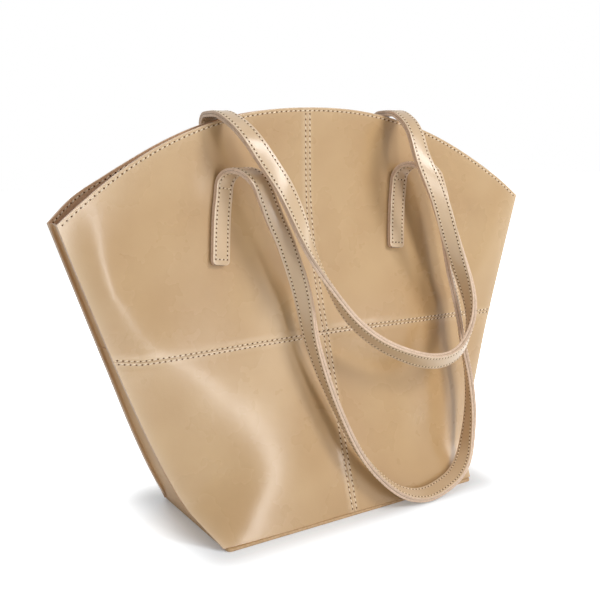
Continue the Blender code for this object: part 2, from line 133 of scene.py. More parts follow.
# How the leather has settled. Share of the height, share of the half width where the soft ridge runs
LEFT_RIDGE = (
    (0.0, 0.97), (0.086, 0.76), (0.124, 0.633), (0.181, 0.544), (0.264, 0.548), (0.397, 0.643),
    (0.5, 0.775), (0.57, 0.85), (0.69, 0.894), (0.76, 0.919), (0.95, 0.905), (1.0, 0.91),
)
RIGHT_RIDGE = (
    (0.0, 0.95), (0.1, 0.6), (0.2, 0.42), (0.35, 0.42), (0.5, 0.6), (0.6, 0.8), (0.8, 0.9), (1.0, 0.91),
)
RIDGE_SOFTNESS = {LEFT: 0.068, RIGHT: 0.09}
# Share of the height, how far the ridge stands forward of the plain curve
CREST = (
    (0.0, 0.0), (0.3, 0.0), (0.4, 0.002), (0.5, 0.0045), (0.65, 0.0062), (0.85, 0.0055), (1.0, 0.0015),
)
CREST_SOFTNESS = 0.2
CREST_RISE_POWER = 3
# Share of the height, share of the facet form used in place of the plain curve
FACET_SHARE = ((0.0, 0.3), (0.06, 1.0), (0.45, 1.0), (0.7, 0.0), (1.0, 0.0))
# Soft dents and swells of the front wall: x, z, half width, half height, depth inwards
DENTS = (
    (-0.022, 0.052, 0.022, 0.024, 0.0018),
    (0.052, 0.105, 0.048, 0.08, -0.0036),
    (-0.065, 0.21, 0.018, 0.07, 0.0006),
    (0.03, 0.24, 0.035, 0.05, -0.0008),
    (-0.097, 0.278, 0.012, 0.014, -0.0011),
)
# Slow waves of the leather: their depth, lengths and start, and where they fade towards the folds
UNDULATION = 0.00045
UNDULATION_LENGTHS = (0.021, 0.05, 0.026, 0.07)
UNDULATION_START = 1.3
UNDULATION_FADE = 0.15
# Distance from the middle, height of the horizontal seam
SEAM_LINE = (
    (-0.192, 0.1523), (-0.1656, 0.1483), (-0.0295, 0.1495), (0.0, 0.151), (0.149, 0.1476), (0.176, 0.1463),
)
# Share of the height, x of the centre seam
CENTRE_SEAM = ((0.0, -0.005), (0.44, -0.0043), (0.74, -0.0066), (1.0, -0.0043))
# A seam's raised band, its rise, and how many bands out from the seam it ends
SEAM_BAND = 0.0052
SEAM_RISE = 0.0002
SEAM_BAND_END = 1.4
# The furrow where two leathers roll into a seam, on the walls and on the gussets, and their gap
ROLL_WIDTH = 0.0010
ROLL_DEPTH = 0.0001
GUSSET_ROLL_WIDTH = 0.0015
GUSSET_ROLL_DEPTH = 0.0006
SEAM_GAP = 0.00004

# Hanging loops, left to right. Each row holds the distance from the centre line as a share of half the
# distance between the front sewn ends, the share of the height from the loop's lowest point to its ends,
# the distance out from the front wall in strap widths, and the twist in degrees
FRONT_LOOP = (
    (-0.585, 0.905, 1.867, 10),
    (-0.485, 0.83, 1.8, 20),
    (-0.382, 0.719, 1.667, 38),
    (-0.33, 0.642, 1.52, 55),
    (-0.29, 0.523, 1.387, 78),
    (-0.147, 0.349, 1.133, 97),
    (0.081, 0.167, 0.907, 106),
    (0.401, 0.044, 0.827, 108),
    (0.729, 0.0, 0.807, 107),
    (1.087, 0.017, 0.833, 102),
    (1.339, 0.051, 0.867, 97),
    (1.511, 0.112, 0.987, 89),
    (1.595, 0.215, 1.147, 75),
    (1.599, 0.33, 1.3, 62),
    (1.562, 0.438, 1.4, 55),
    (1.519, 0.576, 1.54, 45),
    (1.46, 0.697, 1.647, 34),
    (1.425, 0.814, 1.72, 22),
    (1.383, 0.915, 1.767, 10),
)
BACK_LOOP = (
    (-0.638, 0.951, 2.733, 4),
    (-0.55, 0.9, 2.967, 8),
    (-0.453, 0.827, 2.987, 18),
    (-0.35, 0.749, 2.867, 38),
    (-0.24, 0.68, 2.8, 62),
    (-0.014, 0.561, 2.8, 95),
    (0.147, 0.508, 2.8, 105),
    (0.342, 0.463, 2.767, 116),
    (0.564, 0.428, 2.727, 128),
    (0.798, 0.4, 2.693, 140),
    (1.011, 0.388, 2.673, 147),
    (1.203, 0.392, 2.68, 148),
    (1.337, 0.41, 2.7, 145),
    (1.434, 0.442, 2.74, 135),
    (1.508, 0.494, 2.8, 115),
    (1.512, 0.554, 2.8, 92),
    (1.461, 0.616, 2.8, 72),
    (1.375, 0.687, 2.833, 54),
    (1.275, 0.776, 2.933, 36),
    (1.165, 0.87, 2.967, 20),
    (1.06, 0.944, 2.767, 8),
)

# Points on the middle line of a handle
END_POINTS = 16
FRONT_BEND_POINTS = 20
RISER_POINTS = 6
RISER_EASE_POINTS = 3
MOUTH_TURN_POINTS = 6
FRONT_TURN_POINTS = 9
PATH_STEPS = 8

# Smoothing of the back handle's course: how far in front of the mouth it starts, how much further out it
# is full, how wide it spreads, and the distance between its points
CALM_START = 0.004
CALM_FADE = 0.014
CALM_SPREAD = 0.009
CALM_STEP = 0.0015

# Stitching
WALL_PITCH = 0.0046
STRAP_PITCH = 0.0035
STITCH_SHARE = 0.74
STITCH_WIDTH = 0.0010
STITCH_RISE = 0.00035
STITCH_SLANT = 0.28
HOLE_WIDTH = 0.0017
HOLE_RISE = 0.00012
HEM_DEPTH = 0.0027
HEM_ENDS = 0.985
CENTRE_ROW_OFFSET = 0.0021
CENTRE_ROW_FOOT = 0.016
CENTRE_ROW_POINTS = 300
CROSS_ROW_OFFSET = 0.0014
CROSS_ROW_ENDS = 0.988
CROSS_ROW_LEVEL = 0.56
WALL_ROW_POINTS = 400
STRAP_ROW_OFFSET = 0.0052
STRAP_ROW_STEP = 0.002
STRAP_ROW_MARGIN = 0.0045
BOX_ROW_POINTS = 9

# Shape of a strap's cut
STRAP_SHEET = 0.00205
STRAP_DOME = 0.00035
STRAP_CORNER = 0.0035
STRAP_EDGE = 0.0005
STRAP_STEP = 0.0025
STRAP_COLUMNS = 8
STRAP_CROWDING = 0.5
CORNER_ROWS = 6
GLUE_INSET = 0.0003

# Columns and rows of the leather sheets, and how much they crowd towards the seams and edges
PANEL_COLUMNS = 84
LOWER_PANEL_ROWS = 60
UPPER_PANEL_ROWS = 70
GUSSET_COLUMNS = 28
GUSSET_ROWS = 44
BACKING_COLUMNS = 8
BACKING_ROWS = 20
CROWDING = 0.8

# Cut edges, and the angles in degrees past which an edge is eased or looks sharp
EASED_EDGE = 0.0002
EASED_ANGLE = 50
SHARP_ANGLE = 40
FOOT_CUT_SHARE = 0.3
SLAB_RIM_SHARE = 0.25

# How pale the leather has worn and how far that reaches, or the share alone
FOLD_WEAR = (0.75, 0.004)
MOUTH_WEAR = (0.55, 0.003)
GUSSET_TOP_WEAR = (0.4, 0.004)
GUSSET_MARGIN_WEAR = 0.5
CENTRE_SEAM_WEAR = 0.3
CROSS_SEAM_WEAR = 0.22
SEAM_WEAR_END = 1.3
MOST_WEAR = 0.85
STRAP_WEAR = 0.8
STRAP_WEAR_START = 0.8
STRAP_WEAR_WIDTH = 0.2
STRAP_WEAR_POWER = 1.5

# The leather's look: scales of its clouds, patches and polish, the most a patch shows, how far the polish
# strays, how many grains make a crease, the grain's share in the relief, and the relief's depth
CLOUD_SCALE = 13.0
PATCH_SCALE = 7.0
POLISH_SCALE = 30.0
PATCH_SHARE = 0.6
POLISH_SPREAD = (-0.06, 0.08)
CREASE_GRAINS = 9
GRAIN_SHARE = 0.35
GRAIN_DEPTH = 0.0004

# The camera's place, the directions to its right and up, its lens and its sensor in millimetres
CAMERA_PLACE = (-0.3883753, -0.60727951, 0.30935716)
CAMERA_RIGHT = (0.85126247, -0.52436592, -0.01981372)
CAMERA_UP = (0.1122341, 0.14505722, 0.98303708)
CAMERA_LENS = 50.2648
CAMERA_SENSOR = 36.0

# Name, direction from the bag, distance, width, height and power of each light
SOFTBOXES = (
    ("key softbox", (0.42, -0.73, 0.54), 1.5, 0.34, 0.6, 9.8),
    ("strip softbox", (0.2, -0.98, 0.06), 1.2, 0.18, 0.9, 5.0),
    ("left softbox", (-0.9, -0.35, 0.35), 1.4, 0.8, 1.0, 2.8),
    ("back softbox", (-0.2, 0.9, 0.5), 1.5, 1.0, 1.0, 6.0),
    ("right softbox", (0.98, -0.1, 0.15), 1.3, 0.3, 0.9, 3.0),
    ("top softbox", (-0.05, -0.2, 1.0), 1.3, 1.1, 1.1, 2.8),
)
WORLD_LIGHT = 0.2
FLOOR_HALF = 6.0
FLOOR_COLOUR = (0.82, 0.86, 0.9)
# White added to the floor as it is seen: from the first distance off the base to the second, it grows from
# the third number to the fourth. Kept low near the base, it leaves painted shade around the base.
FLOOR_GLOW_WITH_PAINTED_SHADE = (0.0, 0.06, 0.1, 0.95)

# Half a step along a wall when its slope is measured, and how often places on it are worked out again
NUDGE = 0.002
SETTLE_ROUNDS = 8
SEEK_ROUNDS = 12


def along(rows, place):
    """Smooth value at each place in (place, value) rows, with no overshoot between them."""
    places, values = np.array(rows, float).T
    slopes = np.diff(values) / np.diff(places)
    before, after = slopes[:-1], slopes[1:]
    same = before * after > 0
    inner = np.where(same, 2 * before * after / np.where(same, before + after, 1.0), 0.0)
    bends = np.concatenate([slopes[:1], inner, slopes[-1:]])
    place = np.clip(place, places[0], places[-1])
    i = np.clip(np.searchsorted(places, place, side="right") - 1, 0, len(places) - 2)
    span = places[i + 1] - places[i]
    u = (place - places[i]) / span
    low = values[i] * (1 + 2 * u) * (1 - u) ** 2 + span * bends[i] * u * (1 - u) ** 2
    return low + values[i + 1] * u * u * (3 - 2 * u) - span * bends[i + 1] * u * u * (1 - u)


def smooth_share(value):
    value = np.clip(value, 0.0, 1.0)
    return value * value * (3 - 2 * value)


def between(low, high, share):
    return low + (high - low) * share


def crowded(share, amount=CROWDING):
    """Shares drawn together at both ends, where seams and edges need finer leather."""
    return share - amount * np.sin(2 * np.pi * share) / (2 * np.pi)


def unit(vectors):
    return vectors / np.linalg.norm(vectors, axis=-1, keepdims=True)


def running_length(points):
    """Length along a line of points, up to each one."""
    steps = np.linalg.norm(np.diff(points, axis=0), axis=1)
    return np.concatenate([[0.0], np.cumsum(steps)])


def at_stops(stops, length, values):
    """The values found at stops on a running length."""
    return np.stack([np.interp(stops, length, column) for column in values.T], -1)


# The form of the walls. Across is a share of a wall's half width, -1 at the left fold and 1 at the right.
# Level is a share of the wall's height there.

def half_width(level):
    return between(BASE_WIDTH / 2, MOUTH_WIDTH / 2, along(FLARE, level))


def fold_depth(level):
    return between(BASE_DEPTH / 2, MOUTH_END_DEPTH / 2, along(FOLD_TAPER, level))


def middle_y(side, level):
    taper = FRONT_TAPER if side == FRONT else BACK_TAPER
    mouth = MOUTH_SET_BACK + side * MOUTH_MIDDLE_DEPTH / 2
    return between(side * BASE_DEPTH / 2, mouth, along(taper, level))


def top_height(across):
    return BAG_HEIGHT - (BAG_HEIGHT - CORNER_HEIGHT) * np.abs(across) ** ARCH_POWER


def form(side, across, level):
    """Point on the plain outer form of a wall, from shares of its half width and height."""
    middle = middle_y(side, level)
    y = between(middle, side * fold_depth(level), np.abs(across) ** along(WALL_ROUNDNESS, level))
    if side == BACK:
        wave = along(BACK_EDGE_WAVE, np.abs(across))
        y = y + wave * smooth_share((level - BACK_WAVE_START) / (1 - BACK_WAVE_START))
    return np.stack(np.broadcast_arrays(across * half_width(level), y, level * top_height(across)), -1)


def soft_step(value, softness):
    """Zero below zero and the value itself above, rounded in between."""
    return softness * np.logaddexp(0, value / softness)


def seam_height(x):
    return along(SEAM_LINE, x)


def skin(side, across, level):
    """Point on the outer face of the settled leather: facets and ridges, soft dents, raised seams."""
    point = form(side, across, level)
    x, z = point[..., 0], point[..., 2]
    far = np.abs(across)
    left = across < 0
    ridge = np.where(left, along(LEFT_RIDGE, level), along(RIGHT_RIDGE, level))
    softness = np.where(left, RIDGE_SOFTNESS[LEFT], RIDGE_SOFTNESS[RIGHT])
    flat = soft_step(-ridge, softness)
    facet = (soft_step(far - ridge, softness) - flat) / (soft_step(1 - ridge, softness) - flat)
    share = along(FACET_SHARE, level)
    plain = far ** along(WALL_ROUNDNESS, level)
    shift = (side * fold_depth(level) - middle_y(side, level)) * (facet - plain) * share
    rising, falling = (far / ridge) ** CREST_RISE_POWER, (1 - far) / (1 - ridge)
    tent = -CREST_SOFTNESS * np.logaddexp(-rising / CREST_SOFTNESS, -falling / CREST_SOFTNESS)
    shift = shift + side * along(CREST, level) * np.maximum(tent, 0)
    for dent_x, dent_z, wide, high, depth in DENTS if side == FRONT else ():
        shift = shift + depth * np.exp(-(((x - dent_x) / wide) ** 2) - ((z - dent_z) / high) ** 2)
    across_first, up_first, up_second, across_second = UNDULATION_LENGTHS
    wave = np.sin(x / across_first + z / up_first + side)
    wave = wave * np.sin(z / up_second - x / across_second + UNDULATION_START)
    shift = shift - UNDULATION * wave * smooth_share((1 - far) / UNDULATION_FADE)
    to_centre = np.abs(x - along(CENTRE_SEAM, level))
    to_seam = np.abs(z - seam_height(x))
    for distance in (to_centre, to_seam):
        shift = shift + side * SEAM_RISE * smooth_share(SEAM_BAND_END - distance / SEAM_BAND)
        shift = shift - side * ROLL_DEPTH * np.clip(1 - distance / ROLL_WIDTH, 0, 1) ** 2
    point[..., 1] += shift
    return point


def outward(side, across, level, surface=skin):
    """The outward direction of a wall."""
    along_x = surface(side, across + NUDGE, level) - surface(side, across - NUDGE, level)
    along_z = surface(side, across, level + NUDGE) - surface(side, across, level - NUDGE)
    out = unit(np.cross(along_x, along_z))
    return out * np.sign(out[..., 1:2] * side)


def wall_foot(side, across):
    """Height of a wall's lower edge, whose inner corner lies lower where the wall leans in."""
    lean = outward(side, across, 2 * BASE_THICKNESS / CORNER_HEIGHT, form)[..., 2]
    return BASE_THICKNESS + LEATHER * np.maximum(lean, 0.0) * FOOT_CUT_SHARE


def shares_at(x, z):
    """Shares of the half width and height at which a wall has this x and z."""
    across = np.zeros_like(np.asarray(x, float))
    for _ in range(SEEK_ROUNDS):
        level = z / top_height(across)
        across = x / half_width(np.minimum(level, 1.0))
    return across, level


def wall_at(side, x, z, surface=skin):
    """Point and outward direction of a wall at x and z."""
    across, level = shares_at(x, z)
    return surface(side, across, level), outward(side, across, level, surface)


# Meshes

def finished(name, build, *finishes):
    """Object at the origin from a bmesh, with its materials."""
    mesh = bpy.data.meshes.new(name)
    build.to_mesh(mesh)
    build.free()
    for finish in finishes:
        mesh.materials.append(finish)
    mesh.shade_smooth()
    obj = bpy.data.objects.new(name, mesh)
    bpy.context.scene.collection.objects.link(obj)
    return obj


def sheet(name, columns, rows, place, inside_out, thickness, *finishes):
    """A leather sheet: a grid moved to its place, given its thickness inwards, its cut edges eased.

    The finishes are those of the face, the inside and the cut edge.
    """
    build = bmesh.new()
    bmesh.ops.create_grid(build, x_segments=columns, y_segments=rows, size=0.5)
    if inside_out:
        bmesh.ops.reverse_faces(build, faces=build.faces)
    obj = finished(name, build, *finishes)
    points = np.empty(len(obj.data.vertices) * 3)
    obj.data.vertices.foreach_get("co", points)
    shares = points.reshape(-1, 3) + 0.5
    placed, worn = place(shares[:, 0], shares[:, 1])
    obj.data.vertices.foreach_set("co", placed.ravel())
    worn_layer = obj.data.attributes.new("worn", "FLOAT", "POINT")
    worn_layer.data.foreach_set("value", worn.astype(np.float32))
    obj.data.update()
    solidify = obj.modifiers.new("thickness", "SOLIDIFY")
    solidify.thickness = thickness
    solidify.offset = -1
    solidify.use_even_offset = False
    solidify.material_offset = 1
    solidify.material_offset_rim = 2
    ease = obj.modifiers.new("eased edges", "BEVEL")
    ease.width = EASED_EDGE
    ease.segments = 2
    ease.limit_method = "ANGLE"
    ease.angle_limit = math.radians(EASED_ANGLE)
    return obj


def settle(obj):
    """Applies the modifiers of a piece."""
    graph = bpy.context.evaluated_depsgraph_get()
    mesh = bpy.data.meshes.new_from_object(obj.evaluated_get(graph))
    obj.modifiers.clear()
    obj.data = mesh


def bead(width, depth, rise, segments, rings):
    """A low drop about the origin, for one stitch or for one dark dot of painted shade at a hole."""
    build = bmesh.new()
    bmesh.ops.create_uvsphere(build, u_segments=segments, v_segments=rings, radius=1.0)
    bmesh.ops.scale(build, vec=(width / 2, depth / 2, rise), verts=build.verts)
    mesh = bpy.data.meshes.new("bead")
    build.to_mesh(mesh)
    build.free()
    return mesh


def strewn(build, pattern, places, index):
    """Adds a copy of the pattern at each (middle, ahead, side, up) and gives it a material index."""
    corners = np.empty(len(pattern.vertices) * 3)
    pattern.vertices.foreach_get("co", corners)
    for polygon in pattern.polygons:
        polygon.material_index = index
    middle, ahead, side, up = places
    many = bpy.data.meshes.new("many")
    copies = bmesh.new()
    for _ in range(len(middle)):
        copies.from_mesh(pattern)
    copies.to_mesh(many)
    copies.free()
    turn = np.stack([ahead, side, up], 1)
    placed = np.einsum("vk,nkc->nvc", corners.reshape(-1, 3), turn) + middle[:, None]
    many.vertices.foreach_set("co", placed.ravel())
    build.from_mesh(many)
    bpy.data.meshes.remove(many)


def rows_of_stitches(name, rows, pitch):
    """Stitches between dark dots of painted shade at the holes, along rows of (points, outward directions).
    """
    stitches, holes = [], []
    for points, looks in rows:
        steps = points[1:] - points[:-1]
        for found, middle, ahead, look in (
            (stitches, (points[1:] + points[:-1]) / 2, steps, looks[1:] + looks[:-1]),
            (holes, points, np.concatenate([steps, steps[-1:]]), looks),
        ):
            ahead = unit(ahead)
            side = unit(np.cross(look, ahead))
            ahead = unit(ahead + side * STITCH_SLANT)
            side = unit(np.cross(look, ahead))
            found.append(np.stack([middle, ahead, side, np.cross(ahead, side)]))
    build = bmesh.new()
    stitch = bead(pitch * STITCH_SHARE, STITCH_WIDTH, STITCH_RISE, segments=6, rings=4)
    dot = bead(HOLE_WIDTH, HOLE_WIDTH, HOLE_RISE, segments=6, rings=3)
    strewn(build, stitch, np.concatenate(stitches, axis=1), 0)
    strewn(build, dot, np.concatenate(holes, axis=1), 1)
    return finished(name, build, thread, hole_painted_shade)


def evenly(points, looks, pitch):
    """The points and directions again, one pitch apart along their line."""
    length = running_length(points)
    count = max(1, round(length[-1] / pitch))
    stops = np.linspace(0, length[-1], count + 1)
    return at_stops(stops, length, points), at_stops(stops, length, looks)


# Materials

def new_material(name):
    made = bpy.data.materials.new(name)
    made.use_nodes = True
    return made, made.node_tree.nodes, made.node_tree.links


def noise(nodes, links, place, scale, detail, roughness=0.55):
    made = nodes.new("ShaderNodeTexNoise")
    made.inputs["Scale"].default_value = scale
    made.inputs["Detail"].default_value = detail
    made.inputs["Roughness"].default_value = roughness
    links.new(place.outputs["Object"], made.inputs["Vector"])
    return made.outputs["Fac"]


def ramp(nodes, links, value, low, high, low_at, high_at):
    """A colour ramp from one colour to another, driven by a value."""
    made = nodes.new("ShaderNodeValToRGB")
    made.color_ramp.interpolation = "EASE"
    made.color_ramp.elements[0].position = low_at
    made.color_ramp.elements[0].color = (*low, 1)
    made.color_ramp.elements[1].position = high_at
    made.color_ramp.elements[1].color = (*high, 1)
    links.new(value, made.inputs["Fac"])
    return made.outputs["Color"]


def mixed(nodes, links, share, under, over):
    """A plain colour laid over what is under it, by a share."""
    made = nodes.new("ShaderNodeMix")
    made.data_type = "RGBA"
    made.inputs["B"].default_value = (*over, 1)
    links.new(share, made.inputs["Factor"])
    links.new(under, made.inputs["A"])
    return made.outputs["Result"]


def reckoned(nodes, links, operation, first, second):
    made = nodes.new("ShaderNodeMath")
    made.operation = operation
    links.new(first, made.inputs[0])
    links.new(second, made.inputs[1])
    return made.outputs["Value"]


def relief(nodes, links, height, strength, depth):
    """Fine bumps in the surface, from a height."""
    made = nodes.new("ShaderNodeBump")
    made.inputs["Strength"].default_value = strength
    made.inputs["Distance"].default_value = depth
    links.new(height, made.inputs["Height"])
    links.new(made.outputs["Normal"], nodes["Principled BSDF"].inputs["Normal"])


def leather(name, light, dark, patch, worn, roughness, gloss, coat, grain_scale):
    """Waxed leather: cloudy colour, darker patches, paler rubbed edges, fine grain and uneven polish."""
    made, nodes, links = new_material(name)
    shader = nodes["Principled BSDF"]
    place = nodes.new("ShaderNodeTexCoord")
    clouds = noise(nodes, links, place, CLOUD_SCALE, detail=2.0)
    cloud_colour = ramp(nodes, links, clouds, dark, light, low_at=0.25, high_at=0.75)
    blots = noise(nodes, links, place, PATCH_SCALE, detail=1.0)
    most = (PATCH_SHARE, PATCH_SHARE, PATCH_SHARE)
    blot_share = ramp(nodes, links, blots, (0, 0, 0), most, low_at=0.45, high_at=0.85)
    colour = mixed(nodes, links, blot_share, cloud_colour, patch)
    worn_share = nodes.new("ShaderNodeAttribute")
    worn_share.attribute_name = "worn"
    colour = mixed(nodes, links, worn_share.outputs["Fac"], colour, worn)
    links.new(colour, shader.inputs["Base Color"])
    polish = noise(nodes, links, place, POLISH_SCALE, detail=3.0)
    spread = nodes.new("ShaderNodeMapRange")
    spread.inputs["To Min"].default_value = roughness + POLISH_SPREAD[0]
    spread.inputs["To Max"].default_value = roughness + POLISH_SPREAD[1]
    links.new(polish, spread.inputs["Value"])
    links.new(spread.outputs["Result"], shader.inputs["Roughness"])
    shader.inputs["Specular IOR Level"].default_value = gloss
    shader.inputs["Coat Weight"].default_value = coat
    shader.inputs["Coat Roughness"].default_value = 0.2
    grain = noise(nodes, links, place, grain_scale, detail=3.0, roughness=0.6)
    creases = noise(nodes, links, place, grain_scale / CREASE_GRAINS, detail=4.0, roughness=0.5)
    heights = nodes.new("ShaderNodeMath")
    heights.operation = "MULTIPLY_ADD"
    heights.inputs[1].default_value = GRAIN_SHARE
    links.new(grain, heights.inputs[0])
    links.new(creases, heights.inputs[2])
    relief(nodes, links, heights.outputs["Value"], strength=0.35, depth=GRAIN_DEPTH)
    return made


def fibrous(name, light, dark, scale, roughness, depth, gloss=0.25):
    """Rough fibres: suede (painted paler), cut edges, thread, holes (painted shade), glue line, pressed
    board.
    """
    made, nodes, links = new_material(name)
    shader = nodes["Principled BSDF"]
    place = nodes.new("ShaderNodeTexCoord")
    fibres = noise(nodes, links, place, scale, detail=5.0, roughness=0.65)
    colour = ramp(nodes, links, fibres, dark, light, low_at=0.3, high_at=0.7)
    links.new(colour, shader.inputs["Base Color"])
    shader.inputs["Roughness"].default_value = roughness
    shader.inputs["Specular IOR Level"].default_value = gloss
    relief(nodes, links, fibres, strength=0.5, depth=depth)
    return made


body_face = leather(
    "body_leather_face",
    light=(0.535, 0.355, 0.178), dark=(0.47, 0.295, 0.14),
    patch=(0.39, 0.22, 0.092), worn=(0.66, 0.49, 0.32),
    roughness=0.27, gloss=0.4, coat=0.4, grain_scale=1100.0,
)
# The side strips' duller leather, set paler than the body leather to stand in for light on their shaded
# sides: partly painted light.
gusset_face_painted_paler = leather(
    "gusset_leather_face_painted_paler",
    light=(0.65, 0.43, 0.24), dark=(0.58, 0.37, 0.195),
    patch=(0.5, 0.295, 0.14), worn=(0.72, 0.53, 0.36),
    roughness=0.5, gloss=0.2, coat=0.03, grain_scale=1100.0,
)
# Strap leather set paler than the body leather: painted sheen, as if the light caught the straps all along.
strap_face_painted_sheen = leather(
    "strap_leather_face_painted_sheen",
    light=(0.62, 0.45, 0.285), dark=(0.56, 0.395, 0.235),
    patch=(0.48, 0.315, 0.17), worn=(0.72, 0.56, 0.41),
    roughness=0.3, gloss=0.4, coat=0.4, grain_scale=1300.0,
)
# Suede set paler than it is, to stand in for the light missing inside the bag: painted light.
suede_painted_paler = fibrous(
    "suede_inside_painted_paler", light=(0.78, 0.5, 0.31), dark=(0.56, 0.34, 0.2),
    scale=700.0, roughness=0.95, depth=0.0004,
)
cut_edge = fibrous(
    "cut_edge", light=(0.74, 0.56, 0.43), dark=(0.6, 0.43, 0.3),
    scale=500.0, roughness=0.55, depth=0.0003,
)
base_edge = fibrous(
    "base_edge", light=(0.56, 0.38, 0.22), dark=(0.45, 0.28, 0.14),
    scale=500.0, roughness=0.45, depth=0.0003,
)
thread = fibrous(
    "waxed_thread", light=(0.88, 0.76, 0.59), dark=(0.74, 0.6, 0.42),
    scale=1500.0, roughness=0.5, depth=0.0002,
)
# Dark drops for the stitch holes: painted shade of the holes' hollows.
hole_painted_shade = fibrous(
    "stitch_hole_painted_shade", light=(0.16, 0.075, 0.03), dark=(0.09, 0.04, 0.018),
    scale=900.0, roughness=0.9, depth=0.0001, gloss=0.05,
)
glue = fibrous(
    "glue_line", light=(0.16, 0.09, 0.05), dark=(0.09, 0.05, 0.03),
    scale=900.0, roughness=0.6, depth=0.0001,
)
pressed_board = fibrous(
    "pressed_board", light=(0.28, 0.2, 0.14), dark=(0.2, 0.14, 0.1),
    scale=300.0, roughness=0.85, depth=0.0004,
)


# The bag

def rubbed(wear, distance):
    """How pale an edge has worn at a distance from it."""
    strength, reach = wear
    return strength * np.exp(-distance / reach)


def wall_panel(side, hand, lower):
    """One of the four panels of a wall."""

    def place(out, up):
        out, up = crowded(out), crowded(up)
        across, level = hand * out, up
        for _ in range(SETTLE_ROUNDS):
            top = top_height(across)
            seam = seam_height(across * half_width(level))
            foot = wall_foot(side, across) if lower else seam + SEAM_GAP / 2
            head = seam - SEAM_GAP / 2 if lower else top
            level = between(foot, head, up) / top
            line = along(CENTRE_SEAM, level) + hand * SEAM_GAP / 2
            across = between(line / half_width(level), hand, out)
        point = skin(side, across, level)
        to_fold = (1 - np.abs(across)) * half_width(level)
        to_mouth = (1 - level) * top_height(across)
        to_centre = np.abs(point[..., 0] - along(CENTRE_SEAM, level))
        to_seam = np.abs(point[..., 2] - seam_height(point[..., 0]))
        edge_wear = rubbed(FOLD_WEAR, to_fold) + rubbed(MOUTH_WEAR, to_mouth)
        seam_wear = CENTRE_SEAM_WEAR * smooth_share(SEAM_WEAR_END - to_centre / SEAM_BAND)
        seam_wear += CROSS_SEAM_WEAR * smooth_share(SEAM_WEAR_END - to_seam / SEAM_BAND)
        return point, np.clip(edge_wear + seam_wear, 0, MOST_WEAR)

    storey = "lower" if lower else "upper"
    node = f"{SIDE_NAMES[side]}_{storey}_{HAND_NAMES[hand]}_panel"
    rows = LOWER_PANEL_ROWS if lower else UPPER_PANEL_ROWS
    finishes = (body_face, suede_painted_paler, cut_edge)
    obj = sheet(node + "_leather", PANEL_COLUMNS, rows, place, side * hand > 0, LEATHER, *finishes)
    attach(obj, "bag")
    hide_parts(node)


def gusset_edge_y(side, hand, x_in, level):
    """Where a gusset meets the inside of a wall, a little clear of it."""
    nearest = None
    for depth in (x_in, x_in + LEATHER):
        across = hand * (1 - depth / half_width(level))
        stretch = 1 / np.abs(outward(side, across, level)[..., 1])
        y = np.abs(skin(side, across, level)[..., 1]) - (LEATHER + GUSSET_GAP) * stretch
        nearest = y if nearest is None else np.minimum(nearest, y)
    return side * nearest


def gusset(hand, lower):
    """Half of a side strip, drawn in along its middle, its margins turned out along the walls."""

    def place(share, up):
        up = crowded(up)
        foot = BASE_THICKNESS + GAP if lower else GUSSET_SEAM_HEIGHT + SEAM_GAP / 2
        head = GUSSET_SEAM_HEIGHT - SEAM_GAP / 2 if lower else CORNER_HEIGHT
        level = between(foot, head, up) / CORNER_HEIGHT
        above_foot = smooth_share(level / GUSSET_FOOT_HEIGHT)
        inset = GUSSET_INSET * between(GUSSET_FOOT_INSET_SHARE, 1.0, above_foot)
        in_margin = np.clip(np.minimum(share, 1 - share) / MARGIN_SHARE, 0, 1)
        strip = np.clip((share - MARGIN_SHARE) / (1 - 2 * MARGIN_SHARE), 0, 1)
        hollow = 1 - (2 * strip - 1) ** 2
        depth = between(GAP, inset, in_margin)
        front = gusset_edge_y(FRONT, hand, depth, level) + LEATHER
        back = gusset_edge_y(BACK, hand, depth, level) - LEATHER
        to_seam = np.abs(level * CORNER_HEIGHT - GUSSET_SEAM_HEIGHT)
        seam_roll = GUSSET_ROLL_DEPTH * np.clip(1 - to_seam / GUSSET_ROLL_WIDTH, 0, 1) ** 2
        x = hand * (half_width(level) - depth - GUSSET_GROOVE * above_foot * hollow - seam_roll)
        dip = 0.0 if lower else GUSSET_TOP_DIP * hollow * up
        z = level * CORNER_HEIGHT - dip
        worn = rubbed(GUSSET_TOP_WEAR, CORNER_HEIGHT - z) + GUSSET_MARGIN_WEAR * (1 - in_margin)
        return np.stack([x, between(front, back, strip), z], -1), worn

    storey = "lower" if lower else "upper"
    node = f"{HAND_NAMES[hand]}_gusset_{storey}"
    finishes = (gusset_face_painted_paler, suede_painted_paler, cut_edge)
    obj = sheet(node + "_leather", GUSSET_COLUMNS, GUSSET_ROWS, place, hand == LEFT, LEATHER, *finishes)
    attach(obj, "bag")
    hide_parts(node)


def slab(name, width, depth, thickness, foot, finishes):
    """A flat sheet with rounded corners, lying at the height foot. Its sides take the second finish."""
    build = bmesh.new()
    bmesh.ops.create_cube(build, size=1.0)
    bmesh.ops.scale(build, vec=(width, depth, thickness), verts=build.verts)
    upright = [
        edge for edge in build.edges
        if abs(edge.verts[0].co.z - edge.verts[1].co.z) > thickness / 2
    ]
    bmesh.ops.bevel(
        build, geom=upright, offset=BASE_CORNER_RADIUS,
        segments=6, profile=0.5, affect="EDGES", material=-1,
    )
    for face in build.faces:
        face.material_index = 0 if abs(face.normal.z) > 0.5 else 1
    rim = [edge for edge in build.edges if len({face.material_index for face in edge.link_faces}) == 2]
    bmesh.ops.bevel(
        build, geom=rim, offset=thickness * SLAB_RIM_SHARE,
        segments=3, profile=0.5, affect="EDGES", material=1,
    )
    bmesh.ops.translate(build, vec=(0, 0, foot + thickness / 2), verts=build.verts)
    obj = finished(name, build, *finishes)
    obj.data.set_sharp_from_angle(angle=math.radians(SHARP_ANGLE))
    return obj


